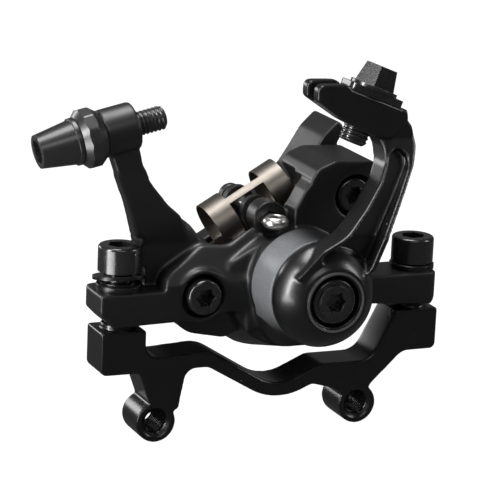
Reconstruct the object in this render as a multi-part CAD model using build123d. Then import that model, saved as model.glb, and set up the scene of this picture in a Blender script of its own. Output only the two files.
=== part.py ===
# Cable-pulled bicycle disc brake caliper on its frame adapter.
# Millimetres. +X runs along the two fixing bolts, +Y away from the lever, towards the wheel,
# and +Z up, away from the frame tabs.
# The origin is midway between the two frame tab holes, where their threads start. The lines
# below measure depth from the adapter's front face, and save() moves every piece to the origin.
from build123d import *
import os
from math import cos, pi, radians, sin, sqrt

os.makedirs("parts", exist_ok=True)

# Interfaces
tab_spacing = 51.0  # between the two holes that take the frame's bolts
post_spacing = 74.0  # between the two caliper fixing bolts
post_shift = 3.07  # the fixing bolts' middle, to the right of the tab holes' middle
post_depth = 4.5  # the fixing bolts' axes, behind the adapter's front face
mating_depth = 17.0  # the plane where the body halves meet, in the middle of the disc
disc_radius = 80.0
disc_reach = 7.5  # how far the disc's edge passes the hub axis
slot_width = 3.0  # the slot that the disc runs in
tilt = 30.0  # degrees that the caliper's own axes lean in the front view

# Clearances and small common sizes
hole_clearance = 0.25  # radial, round every screw in a plain hole
running_clearance = 0.05  # radial, round a turning shaft or a screw in its thread
seat_gap = 0.05  # between a piece that moves and the flat face it runs against
soft_gap = 0.3  # round a piece that moves freely
overrun = 1.0  # how far a cutter reaches past the wall that it cuts
edge_break = 0.5
lobe_count = 6
lobe_share = 0.25  # radius of a key's lobes over the key's own
hex_sides = 6
tip_share = 0.2  # bevel at a screw's tip over its radius

# Adapter bracket
plate_depth = 9.85
lug_radius = 4.75
tab_bore = 2.5
tab_mouth = 3.7  # radius of the countersink at the front of each tab hole
tab_mouth_depth = 1.2
tower_width = 10.8
tower_top = 22.2
tower_low_share = 0.545
tower_foot_round = 1.5
post_face_radius = 4.0
post_face_height = 1.45
# Corners of the bar between the towers as shares of half the bolt spacing, of the tower's
# height and, for the corner's radius, of the plate's depth.
bar_top_shares = [(-0.4235, 0.725, 0.80), (0.036, 0.257, 1.05), (0.3386, 0.4775, 0.35), (0.687, 0.473, 0.50)]
bar_corner_share = (0.685, 0.36)
bar_low_shares = [(0.2846, 0.266, 0.25), (0.036, 0.09, 1.45), (-0.434, 0.5495, 0.35), (-0.580, 0.5495, 0.30)]
neck_right_shares = [(0.9116, 0.545, 0.40), (0.706, 0.2207, 0.15)]
neck_inner_share = (0.4440, 0.189, 0.12)
neck_left_shares = [(-0.623, 0.135, 0.10), (-0.8316, 0.27, 0.10), (-0.891, 0.5405, 0.12)]

# Fixing bolts and their washers
bolt_radius = 3.0
bolt_head_radius = 5.0
bolt_head_height = 6.0
bolt_head_round = 0.7
bolt_length = 18.0
bolt_key_flats = 5.0
bolt_key_depth = 3.0
left_bolt_lift = 2.5  # the left bolt stands this much higher, not screwed home
cup_radius = 5.3
cup_height = 1.4
cup_wall = 0.7
cup_bevel = 0.25
dish_radius = 4.4
dish_rise = 0.35
loose_washer_radius = 6.1
loose_washer_thickness = 0.8
loose_washer_tilt = 8.5

# Caliper body
hub_x = 7.55  # axis of the lever, the piston and the pads
hub_z = 32.4
arm_front = -1.57  # front face of the two mounting arms
arm_depth = 12.2
arm_top = 31.4
ear_reach_left = 6.4  # from the fixing bolt's axis to the end of the ear
ear_reach_right = 4.35
ear_chamfer = 3.2
ear_round = 2.6
ear_slot_length = 9.0
arm_round = 1.0
bolt_relief = 7.4  # height over the left bolt's seat that the cable arm's foot keeps clear
arm_low_share = 0.78  # bottom of the arms under the hub, as a share of the hub's height
body_bolt_across = 21.4  # each body bolt, to the side of the hub axis
body_bolt_out = 9.2  # and outward of it, away from the wheel's axle
body_bolt_radius = 2.5
body_bolt_head = 4.1
body_bolt_head_height = 5.0
body_bolt_length = 20.0
body_bolt_key = 1.9
bolt_recess_radius = 5.05
left_boss_radius = 6.3
left_head_proud = 1.4  # the left head stands this much out of its recess
right_head_sunk = 0.8
back_half_depth = 14.0
body_back = mating_depth + back_half_depth
slab_front = 3.0
block_front = -1.57
hub_front = -13.9
hub_radius = 12.2
keel_radius = 10.6
keel_drop = 6.0
shoulder_radius = 16.65
shoulder_front = -0.5
flank_radius = 21.3
back_radius = 20.9
back_face_radius = 17.5
slope_low = 32.5  # above this height the front face leans back
slope_high = 43.8
slope_end = 6.3
window_left = 13.2
window_right = 13.8
sill_depth = 4.6  # back of the wall under the window
pad_pocket_reach = 8.4  # each way from the mating plane
pad_pocket_front = mating_depth - pad_pocket_reach
pad_pocket_back = mating_depth + pad_pocket_reach
eye_radius = 4.1
eye_front = 3.0
eye_setback = 0.6
eye_back = pad_pocket_front - eye_setback
rear_eye_radius = 3.0
rear_eye_length = 2.1
rear_eye_back = pad_pocket_back + rear_eye_length
waist_share = 0.1  # top of the narrowed part of the back half, under the hub
# Front view outlines in the caliper's leaning axes, as shares of the body bolt's offset.
slab_shares = [
    (-1.3364, 0.1121, 0.290), (-1.3551, 0.8318, 0.210), (-0.6168, 0.8600, 0.047),
    (0.6262, 0.8598, 0.047), (0.7710, 0.9346, 0.117), (0.9673, 0.9019, 0.093),
    (1.3645, 0.6495, 0.037), (1.3645, 0.1682, 0.140), (0.9579, -0.2336, 0.140),
    (-0.9579, -0.2336, 0.140),
]
core_shares = [
    (-0.9579, -0.2336, 0.140), (-0.6776, -0.7710, 0.187), (-0.4206, -0.9252, 0.187),
    (0.4206, -0.9252, 0.187), (0.6776, -0.7710, 0.187), (0.9579, -0.2336, 0.140),
    (0.9579, 0.5607, 0.000), (-0.9579, 0.5607, 0.000),
]
back_shares = [
    (-1.2710, 0.1402, 0.280), (-1.2710, 0.7243, 0.210), (-0.6168, 0.9112, 0.047),
    (0.6636, 0.6308, 0.047), (0.7850, 0.6075, 0.050), (0.9953, 0.7103, 0.140),
    (1.2336, 0.8411, 0.140), (1.3598, 0.8738, 0.047), (1.4720, 0.8972, 0.037),
    (1.4907, 0.8178, 0.050), (1.4626, 0.7477, 0.047), (1.3318, 0.6822, 0.050),
    (1.3645, 0.1682, 0.140), (0.9579, -0.2336, 0.140), (0.6776, -0.7710, 0.187),
    (0.4206, -0.9252, 0.187), (-0.4206, -0.9252, 0.187), (-0.6776, -0.7710, 0.187),
    (-0.9579, -0.2336, 0.140),
]
sill_shares = [
    (-0.7757, 0.8925, 0.000), (-0.4533, 0.6822, 0.070), (-0.0935, 0.6682, 0.000),
    (0.2804, 0.6682, 0.070), (0.3879, 0.7196, 0.023), (0.5234, 0.8037, 0.047),
    (0.6449, 0.8505, 0.000), (0.6449, 1.4953, 0.000), (-0.7757, 1.4953, 0.000),
]
rear_sill_shares = [
    (-0.6168, 0.4206, 0.000), (-0.2336, 0.4206, 0.070), (-0.0701, 0.6075, 0.047),
    (0.1869, 0.6075, 0.047), (0.3037, 0.5140, 0.047), (0.6449, 0.5140, 0.000),
    (0.6449, 1.4953, 0.000), (-0.6168, 1.4953, 0.000),
]

# Cable stop arm, its outline measured from the left fixing bolt at the arms' top face
stop_arm_height = 35.1
stop_arm_shares = [
    (0.1575, -0.0969, 0.000), (0.1462, 0.1453, 0.100), (0.1348, 0.2593, 0.150),
    (0.0749, 0.3932, 0.150), (-0.0390, 0.6211, 0.150), (-0.1387, 0.7977, 0.150),
    (-0.2014, 0.9687, 0.043), (-0.0105, 0.9915, 0.028), (0.0151, 0.8832, 0.085),
    (0.0863, 0.7635, 0.150), (0.2658, 0.5698, 0.150), (0.4937, 0.3818, 0.085),
    (0.6533, 0.1880, 0.000), (0.5678, -0.0969, 0.000),
]
stop_arm_root_front = 4.5
stop_arm_root_back = 13.0
stop_arm_knee_share = 0.2735
stop_arm_heel_share = 0.131
stop_arm_lean_share = 0.8433
stop_tip_front_share = 0.355
stop_tip_back_share = 0.333
cable_plane = -5.0
stop_boss_shares = (-0.14893, 1.10573)  # the boss's middle, measured as the arm's outline is
stop_tilt = 12.7
stop_boss_start = 14.7
stop_boss_end = 22.7
stop_boss_radius = 5.35

# Barrel adjuster, measured along its axis from the knob's outer end
knob_tip_radius = 3.75
knob_radius = 5.0
knob_length = 8.2
knob_ring_radius = 5.3
knob_ring_length = 0.9
barrel_radius = 2.5
barrel_end = 29.8
housing_socket_radius = 2.6
housing_socket_depth = 7.0
cable_bore = 1.1
nut_radius = 6.7
nut_neck_radius = 5.3
nut_start = 9.3
nut_rim_start = 10.7
nut_rim_end = 12.9
nut_sides = 12

# Lever
lever_cap_radius = 12.2
cap_back = -14.3
cap_shoulder = -16.2
cap_waist_radius = 10.45
cap_waist = -19.75
cap_lip_radius = 7.3
cap_face = -22.4
cap_recess_radius = 5.9
cap_recess_floor = -20.4
cap_ring_radius = 6.95
cap_ring_width = 0.5
cap_ring_depth = 0.6
cap_ring_proud = 0.25
lever_reach = 43.0
lever_thickness = 7.0
lever_low_middle = -17.9
lever_bend_shares = (0.3163, 0.7814)  # heights where the arm bends back and straightens again
lever_end_thickness = 9.0
lever_pocket_depth = 1.3
lever_root_depth = 3.9  # the pocket's depth where the arm leaves the cap
cable_groove = 3.0
cable_groove_share = 0.205
lever_shares = [
    (0.0000, 0.0000, 0.000), (-0.2105, 0.1302, 0.000), (-0.0733, 0.2674, 0.093),
    (0.0779, 0.3465, 0.140), (0.2035, 0.4535, 0.140), (0.3174, 0.5698, 0.140),
    (0.3733, 0.6581, 0.080), (0.3802, 0.7395, 0.060), (0.3453, 0.8279, 0.000),
    (0.5058, 0.9023, 0.023), (0.5570, 0.8419, 0.040), (0.5802, 0.7488, 0.093),
    (0.5384, 0.6465, 0.116), (0.4337, 0.4930, 0.140), (0.3105, 0.3209, 0.140),
    (0.2384, 0.1488, 0.000),
]
lever_end_shares = [
    (0.3221, 0.7953, 0.019), (0.1709, 0.8721, 0.058), (-0.0174, 1.0000, 0.028),
    (-0.0151, 1.0884, 0.035), (0.1500, 1.0814, 0.019), (0.5128, 0.9349, 0.019),
    (0.5221, 0.8744, 0.000), (0.4291, 0.7814, 0.000),
]
lever_pocket_shares = [
    (0.3965, 0.6953, 0.030), (0.4640, 0.7326, 0.028), (0.5105, 0.6953, 0.035),
    (0.5012, 0.6419, 0.093), (0.4012, 0.4953, 0.116), (0.2796, 0.3279, 0.116),
    (0.2058, 0.1500, 0.000), (0.0000, 0.0000, 0.000), (-0.0800, 0.2350, 0.000),
    (0.0895, 0.3302, 0.116), (0.2151, 0.4395, 0.116), (0.3314, 0.5581, 0.116),
    (0.3872, 0.6488, 0.080),
]
hub_screw_head = 5.2
hub_screw_step = 3.9
hub_screw_head_height = 1.7
hub_screw_step_height = 0.7
hub_screw_key = 2.0
hub_key_depth = 2.1
hub_screw_length = 9.0

# Cable clamp on the lever's end
clamp_shares = (0.33605, 0.99535)  # of the lever's reach
clamp_tilt = 21.5
clamp_bolt_radius = 3.0
clamp_bolt_length = 13.0
clamp_head_flats = 9.2
clamp_head_top_share = 0.78
clamp_head_height = 4.8
clamp_collar_radius = 5.6
clamp_collar_height = 0.8
clamp_plate_length = 14.2
clamp_plate_width = 8.6
clamp_plate_thickness = 1.7
clamp_plate_round = 2.5

# Cam, balls and piston
bore_radius = 9.25
hub_wall_back = -6.9
bush_inner = 4.05
bush_outer = 5.0
bush_front = -14.2
thrust_washer_thickness = 1.0
thrust_washer_radius = 8.8
shaft_radius = 4.0
drive_flats = 5.6
drive_end = -19.9
cam_radius = 8.95
cam_back = -2.6
ball_radius = 1.6
ball_circle = 6.2
ball_count = 3
ball_seat_depth = 1.1  # of each ball's seat in the cam
lever_swing_angle = 35.0
push_travel = 1.4  # of the piston at the lever's full swing
ramp_margin_share = 1.6  # groove length over the swing
groove_clearance = 0.1  # radial, round each ball in its ramp
ramp_front = -2.3
ramp_back = 0.6
ramp_spigot = 5.0
ramp_spigot_length = 2.0
piston_radius = 9.2
pad_room = 6.0  # from the piston's end to the mating plane
piston_end = mating_depth - pad_room
key_width = 2.0
key_height = 1.0

# Return spring and dust seal
spring_radius = 7.3
spring_wire = 0.5
spring_pitch = 1.55
spring_turns = 3
spring_sweeps = 4  # pairs of arcs in each turn of the coil
spring_front = -17.4
spring_cavity_inner = 5.6
spring_cavity_outer = 9.2
spring_cavity_front = -18.4
spring_cavity_back = -11.9
spring_tang = 1.6
seal_inner = 10.35
seal_outer = 11.35
seal_back = -12.9

# Pads, pin and pad spring
pad_half_width = 14.0
pad_top = 8.5
pad_bottom = 11.5
pad_corner = 3.5
pad_plate_thickness = 1.9
lining_thickness = 3.0
lining_half_width = 12.0
lining_top = 6.2
lining_bottom = 10.3
pin_across = 2.0
pin_out = 14.2
pin_radius = 1.45
pin_leg_radius = 1.38
pin_hole_radius = 1.7
pin_slit = 0.2
pin_loop_radius = 3.05
pin_reach = 12.0  # of the pin behind the mating plane
pin_end = mating_depth + pin_reach
tab_radius = 3.6
sheet = 0.4
arch_radius = 6.4
arch_out = 13.9
arch_sweep_angle = 140.0
arch_width = 5.5
arch_left_start = -8.05
arch_right_start = 7.0
leg_low = 6.8
leg_offset = 4.05
bridge_near_angle = 25.0
bridge_far_angle = 42.0

# Wheel-side adjuster
adjuster_radius = 8.0
adjuster_proud = 0.6
adjuster_end = body_back + adjuster_proud
adjuster_key_flats = 5.0
adjuster_key_depth = 5.0
detent_radius = 0.7
detent_setback = 3.2  # of the detent ring's middle from the adjuster's outer end

# Everything below is worked out from the values above.
half_post = post_spacing / 2
half_tab = tab_spacing / 2
left_post = post_shift - half_post
right_post = post_shift + half_post
half_tower = tower_width / 2
post_face = tower_top + post_face_height
arm_back = arm_front + arm_depth
slot_radius = disc_radius + 2 * soft_gap
boss_middle = (stop_boss_start + stop_boss_end) / 2
stop_tip_x = left_post + stop_arm_height * stop_boss_shares[0] - boss_middle * cos(radians(stop_tilt))
stop_tip_z = arm_top + stop_arm_height * stop_boss_shares[1] - boss_middle * sin(radians(stop_tilt))
lever_bend_start = hub_z + lever_reach * lever_bend_shares[0]
lever_bend_end = hub_z + lever_reach * lever_bend_shares[1]
clamp_x = hub_x + lever_reach * clamp_shares[0]
clamp_z = hub_z + lever_reach * clamp_shares[1]
detent_depth = adjuster_end - detent_setback


def face_of(corners):
    # closed outline from rows of across, up and corner radius
    points = [(across, up) for across, up, bend in corners]
    bends = [bend for across, up, bend in corners]
    return make_face(FilletPolyline(*points, radius=bends, close=True))


def outline(shares, size, across=0, up=0):
    # closed outline from a table of shares of one size, measured from a point
    return face_of([(across + size * x, up + size * z, size * bend) for x, z, bend in shares])


def prism(sketch, front, back):
    # a front view outline carried from one depth to another
    return extrude(Pos(0, back, 0) * (Plane.XZ * sketch), amount=back - front)


def side_prism(points, left, right):
    # a side view outline of depth and height carried from left to right
    return extrude(Pos(left, 0, 0) * (Plane.YZ * make_face(Polyline(*points, close=True))), amount=right - left)


def rod(x, z, radius, front, back):
    return prism(Pos(x, z) * Circle(radius), front, back)


def turned(x, z, corners):
    # rows of radius and depth, turned about an axis that runs in depth
    return Pos(x, 0, z) * revolve(make_face(Polyline(*corners, close=True)), Axis.Y)


def upright(x, y, radius, low, high):
    return Pos(x, y, low) * extrude(Circle(radius), amount=high - low)


def in_view(across, out):
    # front view place of a point given in the caliper's leaning axes
    turn = radians(tilt)
    return hub_x + across * cos(turn) - out * sin(turn), hub_z + across * sin(turn) + out * cos(turn)


def leaning(sketch):
    return Pos(hub_x, hub_z) * Rot(0, 0, tilt) * sketch


def box_view(left, right, low, high):
    return Pos((left + right) / 2, (low + high) / 2) * Rectangle(right - left, high - low)


def lobed(radius):
    # six-lobed key hole
    lobes = [Rot(0, 0, 360 / lobe_count * turn) * Pos(radius, 0) * Circle(radius * lobe_share) for turn in range(lobe_count)]
    return Sketch() + Circle(radius) + lobes


def along(x, y, z, lean):
    # places a piece built along +Z so that it points up and leans by an angle towards +X
    return Pos(x, y, z) * Rot(0, lean, 0)


def save(shape, name):
    export_step(Pos(0, -tab_mouth_depth, 0) * shape, "parts/" + name + ".step")


left_bolt = in_view(-body_bolt_across, body_bolt_out)
right_bolt = in_view(body_bolt_across, body_bolt_out)
pin_place = in_view(pin_across, pin_out)


# Adapter bracket
def on_bar(row):
    share_x, share_z, bend = row
    return post_shift + half_post * share_x, tower_top * share_z, plate_depth * bend


tower_low = tower_top * tower_low_share
bar = [
    (left_post - half_tower, tower_top, edge_break),
    (left_post + half_tower, tower_top, edge_break),
    (left_post + half_tower, tower_top * bar_corner_share[0], plate_depth * bar_corner_share[1]),
    on_bar(bar_top_shares[0]), on_bar(bar_top_shares[1]),
    on_bar(bar_top_shares[2]), on_bar(bar_top_shares[3]),
    (right_post - half_tower, tower_top, edge_break),
    (right_post + half_tower, tower_top, edge_break),
    (right_post + half_tower, tower_low, tower_foot_round),
    on_bar(neck_right_shares[0]), on_bar(neck_right_shares[1]),
    (half_tab, 0, 0),
    on_bar(neck_inner_share), on_bar(bar_low_shares[0]), on_bar(bar_low_shares[1]),
    on_bar(bar_low_shares[2]), on_bar(bar_low_shares[3]), on_bar(neck_left_shares[0]),
    (-half_tab, 0, 0),
    on_bar(neck_left_shares[1]), on_bar(neck_left_shares[2]),
    (left_post - half_tower, tower_low, tower_foot_round),
]
lugs = Pos(half_tab, 0) * Circle(lug_radius) + Pos(-half_tab, 0) * Circle(lug_radius)
adapter = prism(face_of(bar) + lugs, 0, plate_depth)
for x in (left_post, right_post):
    adapter += upright(x, post_depth, post_face_radius, tower_top - overrun, post_face)
    adapter -= upright(x, post_depth, bolt_radius + running_clearance, 0, post_face + overrun)
for x in (-half_tab, half_tab):
    adapter -= rod(x, 0, tab_bore, -overrun, plate_depth + overrun)
    slant = (tab_mouth - tab_bore) / tab_mouth_depth
    adapter -= turned(x, 0, [
        (0, -overrun), (tab_mouth + slant * overrun, -overrun), (tab_bore, tab_mouth_depth), (0, tab_mouth_depth),
    ])
save(adapter, "adapter_bracket")


# Fixing bolts with their washer stacks
def cap_screw(radius, head_radius, head_height, head_round, length, key, depth):
    # built pointing down from the underside of the head
    head = extrude(Circle(head_radius), amount=head_height)
    head = fillet(head.edges().sort_by(Axis.Z)[-1], head_round)
    head -= Pos(0, 0, head_height - depth) * extrude(key, amount=depth + overrun)
    shank = Pos(0, 0, -length) * extrude(Circle(radius), amount=length)
    shank = chamfer(shank.edges().sort_by(Axis.Z)[0], radius * tip_share)
    return head + shank


hex_key = RegularPolygon(bolt_key_flats / 2, hex_sides, major_radius=False)
fixing_bolt = cap_screw(
    bolt_radius, bolt_head_radius, bolt_head_height, bolt_head_round, bolt_length, hex_key, bolt_key_depth)
dish_low = arm_top + cup_wall
right_seat = arm_top + cup_height + dish_rise
left_seat = right_seat + left_bolt_lift
fixing_bolts = Compound([
    Pos(left_post, post_depth, left_seat) * fixing_bolt,
    Pos(right_post, post_depth, right_seat) * fixing_bolt,
])
save(fixing_bolts, "fixing_bolts")
washer_bore = bolt_radius + hole_clearance
dish_step = cup_height - cup_wall
cup = extrude(Circle(cup_radius), amount=cup_height)
cup = chamfer(cup.edges().group_by(Axis.Z)[-1], cup_bevel)
cup -= Pos(0, 0, cup_wall) * Cone(
    washer_bore + dish_step, dish_radius, dish_step, align=(Align.CENTER, Align.CENTER, Align.MIN))
cup -= extrude(Circle(washer_bore + 2 * hole_clearance), amount=cup_height)
dish = Cone(washer_bore + dish_step, dish_radius, dish_step, align=(Align.CENTER, Align.CENTER, Align.MIN))
dish += Pos(0, 0, dish_step) * extrude(Circle(dish_radius), amount=dish_rise)
dish -= extrude(Circle(washer_bore), amount=cup_height + overrun)
cups = Compound([Pos(x, post_depth, arm_top) * cup for x in (left_post, right_post)])
dishes = Compound([Pos(x, post_depth, dish_low) * dish for x in (left_post, right_post)])
save(cups, "fixing_cup_washers")
save(dishes, "fixing_dished_washers")
loose = extrude(Circle(loose_washer_radius), amount=loose_washer_thickness)
loose -= extrude(Circle(bolt_radius + 2 * hole_clearance), amount=loose_washer_thickness)
loose_rise = dish_radius * sin(radians(loose_washer_tilt))
loose = Pos(left_post, post_depth, right_seat + loose_rise) * Rot(-loose_washer_tilt, 0, 0) * loose
save(loose, "fixing_flat_washer")


# Front body half
arm_low = hub_z * arm_low_share
left_end = left_post - ear_reach_left
right_end = right_post + ear_reach_right
arm_view = face_of([
    (left_end, arm_top, edge_break), (left_end, post_face + ear_chamfer, edge_break),
    (left_end + ear_chamfer, post_face, edge_break), (left_bolt[0] - edge_break, post_face + edge_break, arm_round),
    (left_bolt[0] + left_boss_radius, arm_low, arm_round), (hub_x + hub_radius, arm_low, arm_round),
    (right_end - ear_chamfer / 2, post_face, edge_break), (right_end, post_face + ear_chamfer / 2, edge_break),
    (right_end, arm_top, edge_break),
])
arm_plan = face_of([
    (left_end, arm_front + ear_chamfer, edge_break), (left_end + ear_chamfer, arm_front, edge_break),
    (right_end, arm_front, ear_round), (right_end, arm_back, ear_round), (left_end, arm_back, ear_round),
])
arms = prism(arm_view, arm_front, arm_back) & extrude(arm_plan, amount=arm_top + overrun)

slab = prism(leaning(outline(slab_shares, body_bolt_across)), block_front, mating_depth)
slope_rise = slope_high - slope_low
slope_step = stop_arm_root_front - arm_front
wedge_front = arm_front - overrun
slab -= side_prism([
    (wedge_front, slope_low - overrun * slope_rise / slope_step), (stop_arm_root_front, slope_high),
    (stop_arm_root_front, stop_arm_height + arm_top), (wedge_front, stop_arm_height + arm_top),
], left_end, slope_end)
low_left = Pos(left_bolt[0], left_bolt[1]) * Circle(body_bolt_across)
slab -= prism(box_view(left_end, hub_x - hub_radius, 0, arm_low) & low_left, wedge_front, slab_front)
core = turned(hub_x, hub_z, [
    (0, shoulder_front), (shoulder_radius, shoulder_front), (flank_radius, mating_depth), (0, mating_depth),
]) & prism(leaning(outline(core_shares, body_bolt_across)), shoulder_front, mating_depth)
hub_sections = [
    Pos(hub_x, hub_front, hub_z) * (Plane.XZ * Circle(hub_radius)),
    Pos(hub_x, shoulder_front, hub_z - keel_drop) * (Plane.XZ * Circle(keel_radius)),
]
hub = rod(hub_x, hub_z, hub_radius, hub_front, sill_depth) + loft(Sketch() + hub_sections)
left_boss = rod(left_bolt[0], left_bolt[1], left_boss_radius, arm_front, mating_depth)
front_body = arms + slab + core + hub + left_boss


# Cable stop arm
def arm_height(share):
    return arm_top + stop_arm_height * share


lean_end = arm_height(stop_arm_lean_share)
arm_tip = arm_top + stop_arm_height + overrun
tip_front = cable_plane - stop_boss_radius * stop_tip_front_share
tip_back = cable_plane + stop_boss_radius * stop_tip_back_share
stop_side = [
    (stop_arm_root_front, post_face + ear_chamfer), (stop_arm_root_front, arm_height(stop_arm_knee_share)),
    (tip_front, lean_end), (tip_front, arm_tip), (tip_back, arm_tip), (tip_back, lean_end),
    (stop_arm_root_back, arm_height(stop_arm_heel_share)), (stop_arm_root_back, post_face + ear_chamfer),
]
stop_arm = prism(outline(stop_arm_shares, stop_arm_height, left_post, arm_top), tip_front, stop_arm_root_back)
stop_arm = stop_arm & side_prism(stop_side, left_end - ear_reach_left, hub_x)


def on_barrel(start, end, radius):
    return Pos(0, 0, start) * extrude(Circle(radius), amount=end - start)


barrel_axis = Pos(stop_tip_x, cable_plane, stop_tip_z) * Rot(0, 90 - stop_tilt, 0)
stop_boss = on_barrel(stop_boss_start, stop_boss_end, stop_boss_radius)
stop_boss = fillet(stop_boss.edges().group_by(Axis.Z)[-1] + stop_boss.edges().group_by(Axis.Z)[0], edge_break)
front_body += stop_arm + barrel_axis * stop_boss
front_body -= barrel_axis * on_barrel(stop_boss_start - overrun, stop_boss_end + overrun, barrel_radius + running_clearance)


# Openings in the body halves
front_body -= upright(left_post, post_depth, loose_washer_radius + soft_gap, arm_top, left_seat + soft_gap)
front_body -= upright(left_post, post_depth, bolt_head_radius + soft_gap, arm_top, left_seat + bolt_relief)
window = prism(leaning(box_view(-window_left, window_right, pad_top + soft_gap, 2 * pin_out)), sill_depth, mating_depth)
sill = prism(leaning(outline(sill_shares, body_bolt_across)), wedge_front, sill_depth)
front_body -= window + sill
front_body += rod(pin_place[0], pin_place[1], eye_radius, eye_front, eye_back)
front_body -= rod(pin_place[0], pin_place[1], eye_radius, wedge_front, eye_front)
front_body -= prism(
    leaning(box_view(-pad_half_width - soft_gap, pad_half_width + soft_gap, -pad_bottom - soft_gap, pin_out + pad_top)),
    pad_pocket_front, mating_depth)
front_body -= rod(hub_x, hub_z, bore_radius, hub_wall_back, pad_pocket_front + overrun)
front_body -= rod(hub_x, hub_z, bush_outer, hub_front - overrun, hub_wall_back + overrun)
front_body -= turned(hub_x, hub_z, [
    (spring_cavity_inner, hub_front - overrun), (spring_cavity_outer, hub_front - overrun),
    (spring_cavity_outer, spring_cavity_back), (spring_cavity_inner, spring_cavity_back),
])
front_body -= turned(hub_x, hub_z, [
    (seal_inner, hub_front - overrun), (seal_outer, hub_front - overrun), (seal_outer, seal_back), (seal_inner, seal_back),
])
front_body -= rod(
    hub_x + spring_radius, hub_z, spring_wire + running_clearance, spring_cavity_back - overrun,
    spring_front + spring_pitch * spring_turns + spring_tang + seat_gap)
disc_centre = in_view(0, disc_reach - disc_radius)
disc_slot = rod(disc_centre[0], disc_centre[1], slot_radius, mating_depth - slot_width / 2, mating_depth + slot_width / 2)
front_body -= disc_slot
front_body -= rod(pin_place[0], pin_place[1], pin_hole_radius, wedge_front, eye_back + overrun)
left_seat_depth = arm_front - left_head_proud + body_bolt_head_height
right_seat_depth = block_front + right_head_sunk + body_bolt_head_height
for place, seat in ((left_bolt, left_seat_depth), (right_bolt, right_seat_depth)):
    front_body -= rod(place[0], place[1], bolt_recess_radius, wedge_front, seat)
    front_body -= rod(place[0], place[1], body_bolt_radius + hole_clearance, wedge_front, mating_depth + overrun)
ear_half = (ear_slot_length - 2 * bolt_radius) / 2
for x in (left_post, right_post):
    front_body -= Pos(x, post_depth, post_face - overrun) * extrude(
        Rot(0, 0, 90) * SlotCenterToCenter(2 * ear_half, 2 * (bolt_radius + hole_clearance)), amount=arm_depth)
front_body += prism(
    Pos(hub_x, hub_z + bore_radius) * Rectangle(key_width, 2 * key_height), ramp_front, pad_pocket_front
) - rod(hub_x, hub_z, bore_radius - key_height, ramp_front, pad_pocket_front)
save(front_body, "front_body")


# Back body half
back_body = prism(leaning(outline(back_shares, body_bolt_across)), mating_depth, body_back)
back_taper = mating_depth + slot_width
reach = 2 * body_bolt_across
waist = prism(leaning(box_view(-reach, reach, -reach, -body_bolt_across * waist_share)), mating_depth, body_back)
waist -= turned(hub_x, hub_z, [
    (0, mating_depth), (back_radius, mating_depth), (back_radius, back_taper),
    (back_face_radius, body_back), (0, body_back),
])
back_body -= waist
back_body -= prism(
    leaning(box_view(-window_left, window_right, -pad_bottom - soft_gap, 2 * pin_out)), mating_depth, pad_pocket_back)
back_body -= prism(
    leaning(box_view(-pad_half_width - soft_gap, pad_half_width + soft_gap, -pad_bottom - soft_gap, 2 * pin_out)),
    mating_depth, pad_pocket_back)
back_body -= prism(
    leaning(outline(rear_sill_shares, body_bolt_across)), pad_pocket_back - edge_break, body_back)
back_body += rod(pin_place[0], pin_place[1], rear_eye_radius, pad_pocket_back, rear_eye_back)
back_body -= rod(pin_place[0], pin_place[1], pin_hole_radius, pad_pocket_back - overrun, body_back + overrun)
back_body -= rod(hub_x, hub_z, adjuster_radius + running_clearance, pad_pocket_back - overrun, body_back + overrun)
back_body -= disc_slot
for place, seat in ((left_bolt, left_seat_depth), (right_bolt, right_seat_depth)):
    thread_end = seat + body_bolt_length + 2 * overrun
    back_body -= rod(place[0], place[1], body_bolt_radius + running_clearance, mating_depth - overrun, thread_end)
save(back_body, "back_body")

body_bolt = cap_screw(
    body_bolt_radius, body_bolt_head, body_bolt_head_height, bolt_head_round, body_bolt_length,
    lobed(body_bolt_key), bolt_key_depth)
facing = Rot(90, 0, 0)
body_bolts = Compound([
    Pos(left_bolt[0], left_seat_depth, left_bolt[1]) * facing * body_bolt,
    Pos(right_bolt[0], right_seat_depth, right_bolt[1]) * facing * body_bolt,
])
save(body_bolts, "body_bolts")

# Barrel adjuster and its nut
barrel = on_barrel(0, knob_length, knob_radius) & Cone(
    knob_tip_radius, knob_radius, knob_length, align=(Align.CENTER, Align.CENTER, Align.MIN))
barrel += on_barrel(knob_length, knob_length + knob_ring_length, knob_ring_radius)
barrel += on_barrel(knob_length, barrel_end, barrel_radius)
barrel = chamfer(barrel.edges().sort_by(Axis.Z)[-1], edge_break)
barrel -= on_barrel(-overrun, housing_socket_depth, housing_socket_radius)
barrel -= on_barrel(0, barrel_end + overrun, cable_bore)
save(barrel_axis * barrel, "barrel_adjuster")
nut_end = stop_boss_start
nut = revolve(make_face(Polyline(
    (0, 0, nut_start), (nut_neck_radius, 0, nut_start), (nut_radius, 0, nut_rim_start),
    (nut_radius, 0, nut_rim_end), (nut_neck_radius, 0, nut_end), (0, 0, nut_end), close=True)), Axis.Z)
facets = RegularPolygon(nut_radius * cos(radians(180 / nut_sides)) + seat_gap, nut_sides, major_radius=False)
nut = nut & Pos(0, 0, nut_start) * extrude(facets, amount=nut_end - nut_start)
nut -= on_barrel(0, nut_end + overrun, barrel_radius + running_clearance)
save(barrel_axis * nut, "adjuster_nut")


# Actuating lever: a cap over the hub and an arm that bends back to the cable's plane
cap_curve = ThreePointArc((lever_cap_radius, cap_shoulder), (cap_waist_radius, cap_waist), (cap_lip_radius, cap_face))
cap_sides = Polyline((cap_lip_radius, cap_face), (0, cap_face), (0, cap_back), (lever_cap_radius, cap_back),
                     (lever_cap_radius, cap_shoulder))
cap = Pos(hub_x, 0, hub_z) * revolve(make_face(cap_curve + cap_sides), Axis.Y)
bend_depth = cable_plane - lever_low_middle


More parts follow.
